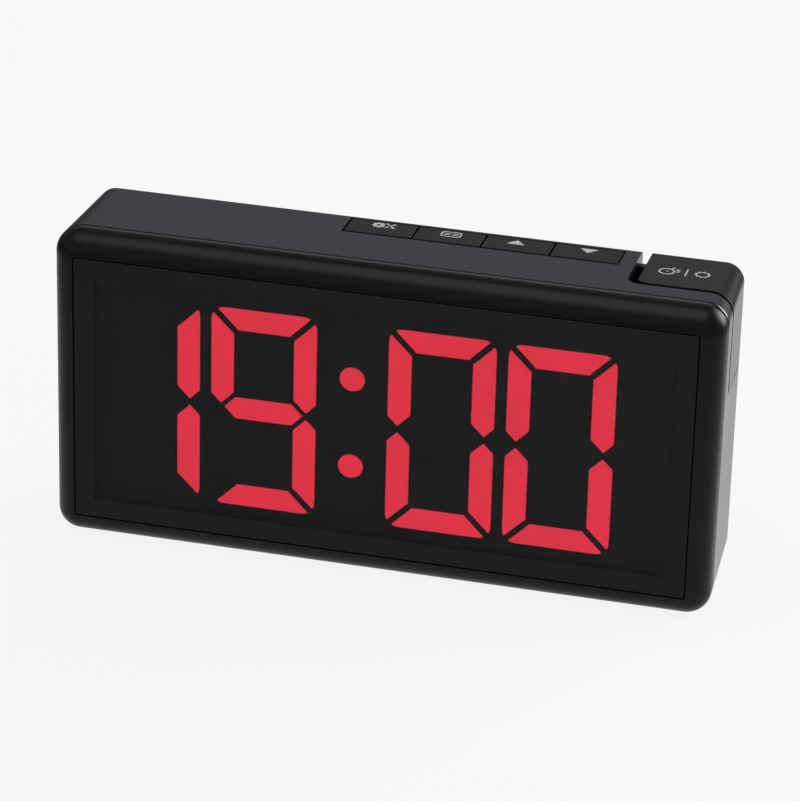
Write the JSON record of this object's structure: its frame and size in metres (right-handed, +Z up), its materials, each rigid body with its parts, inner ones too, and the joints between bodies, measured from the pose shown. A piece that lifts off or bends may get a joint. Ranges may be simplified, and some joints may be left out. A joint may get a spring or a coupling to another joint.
{
  "type": "projection alarm clock",
  "caption": "Slab-shaped table alarm clock with large red segment digits behind a smoked panel, keys on top and a flip-up projector head at the rear corner.",
  "frame": {"origin": "under the middle of the bounding box, on the surface the feet stand on", "axes": "+X to the right of the display as seen from the front, -Y out of the display towards the viewer, +Z up"},
  "size_m": [0.165, 0.039, 0.0816],
  "materials": {
    "casing_black": "fine satin texture",
    "bezel_black": "satin",
    "panel_smoke": "gloss, smoked clear",
    "key_black": "fine satin texture",
    "head_black": "fine satin texture",
    "foot_rubber": "matte",
    "screw_steel": "black zinc plated",
    "mask_black": "matte",
    "segment_red": "diffusing, lit red",
    "segment_dark": "diffusing, unlit",
    "board_green": "solder mask",
    "led_chip": "clear over white",
    "chip_black": "matte",
    "can_steel": "plain",
    "speaker_black": "matte",
    "contact_nickel": "nickel plated",
    "cell_steel": "polished",
    "cable_grey": "vinyl",
    "switch_black": "matte",
    "plunger_white": "matte",
    "lens_glass": "clear, polished",
    "slide_glass": "liquid crystal cell",
    "holder_black": "matte",
    "lamp_clear": "clear dome",
    "foil_copper": "bare foil",
    "print_grey": "pad printed marks on the keys and the head"
  },
  "bodies": {
    "casing": {"front_bezel": "bezel_black", "display_panel": "panel_smoke", "main_housing": "casing_black", "rear_cover": "casing_black", "housing_screws": "screw_steel", "rubber_feet": "foot_rubber", "coin_cell": "cell_steel", "cell_contact_minus": "contact_nickel", "cell_contact_plus": "contact_nickel", "segment_mask": "mask_black", "lit_segments": "segment_red", "unlit_segments": "segment_dark", "colon_dots": "segment_red", "display_board": "board_green", "segment_leds": "led_chip", "display_screws": "screw_steel", "ribbon_cable": "cable_grey", "main_board": "board_green", "board_screws": "screw_steel", "clock_chip": "chip_black", "crystal_can": "can_steel", "speaker": "speaker_black", "dc_inlet": "switch_black", "inlet_contact": "contact_nickel", "key_board": "board_green", "key_switches": "switch_black", "key_board_screws": "screw_steel", "hinge_trunnion": "contact_nickel", "hinge_pin": "can_steel", "friction_washer": "can_steel", "head_cable": "cable_grey"},
    "set_key": {"set_key": "key_black", "set_plunger": "plunger_white"},
    "display_key": {"display_key": "key_black", "display_plunger": "plunger_white"},
    "up_key": {"up_key": "key_black", "up_plunger": "plunger_white"},
    "down_key": {"down_key": "key_black", "down_plunger": "plunger_white"},
    "projector_head": {"head_shell": "head_black", "head_rear": "head_black", "head_screws": "screw_steel", "optics_holder": "holder_black", "time_slide": "slide_glass", "condenser_lens": "lens_glass", "lamp_board": "board_green", "projection_lamp": "lamp_clear", "touch_foil": "foil_copper"},
    "focus_ring": {"focus_ring": "holder_black"},
    "lens_cell": {"lens_cell": "holder_black", "projection_lens": "lens_glass"},
    "battery_door": {"battery_door": "casing_black"}
  },
  "joints": [
    {"name": "set_press", "type": "slide", "parent": "casing", "child": "set_key", "axis": [0, 0, -1], "range_m": [0, 0.0004], "stiffness_N_per_m": 800, "springref_m": -0.0004},
    {"name": "display_press", "type": "slide", "parent": "casing", "child": "display_key", "axis": [0, 0, -1], "range_m": [0, 0.0004], "stiffness_N_per_m": 800, "springref_m": -0.0004},
    {"name": "up_press", "type": "slide", "parent": "casing", "child": "up_key", "axis": [0, 0, -1], "range_m": [0, 0.0004], "stiffness_N_per_m": 800, "springref_m": -0.0004},
    {"name": "down_press", "type": "slide", "parent": "casing", "child": "down_key", "axis": [0, 0, -1], "range_m": [0, 0.0004], "stiffness_N_per_m": 800, "springref_m": -0.0004},
    {"name": "head_tilt", "type": "hinge", "parent": "casing", "child": "projector_head", "pos_m": [0.0684, 0.01625, 0.0541], "axis": [-1, 0, 0], "range_deg": [0, 140]},
    {"name": "focus_turn", "type": "hinge", "parent": "projector_head", "child": "focus_ring", "pos_m": [0.0696, -0.0025, 0.0684], "axis": [0, -1, 0], "range_deg": [-45, 45]},
    {"name": "lens_slide", "type": "slide", "parent": "projector_head", "child": "lens_cell", "axis": [0, -1, 0], "range_m": [-0.0005, 0.0005]},
    {"name": "door_turn", "type": "hinge", "parent": "casing", "child": "battery_door", "pos_m": [-0.048, 0.01625, 0.0275], "axis": [0, -1, 0], "range_deg": [0, 55]}
  ],
  "couplings": [
    {"joint": "focus_turn", "follows": "lens_slide", "rad_per_m": 1570}
  ]
}
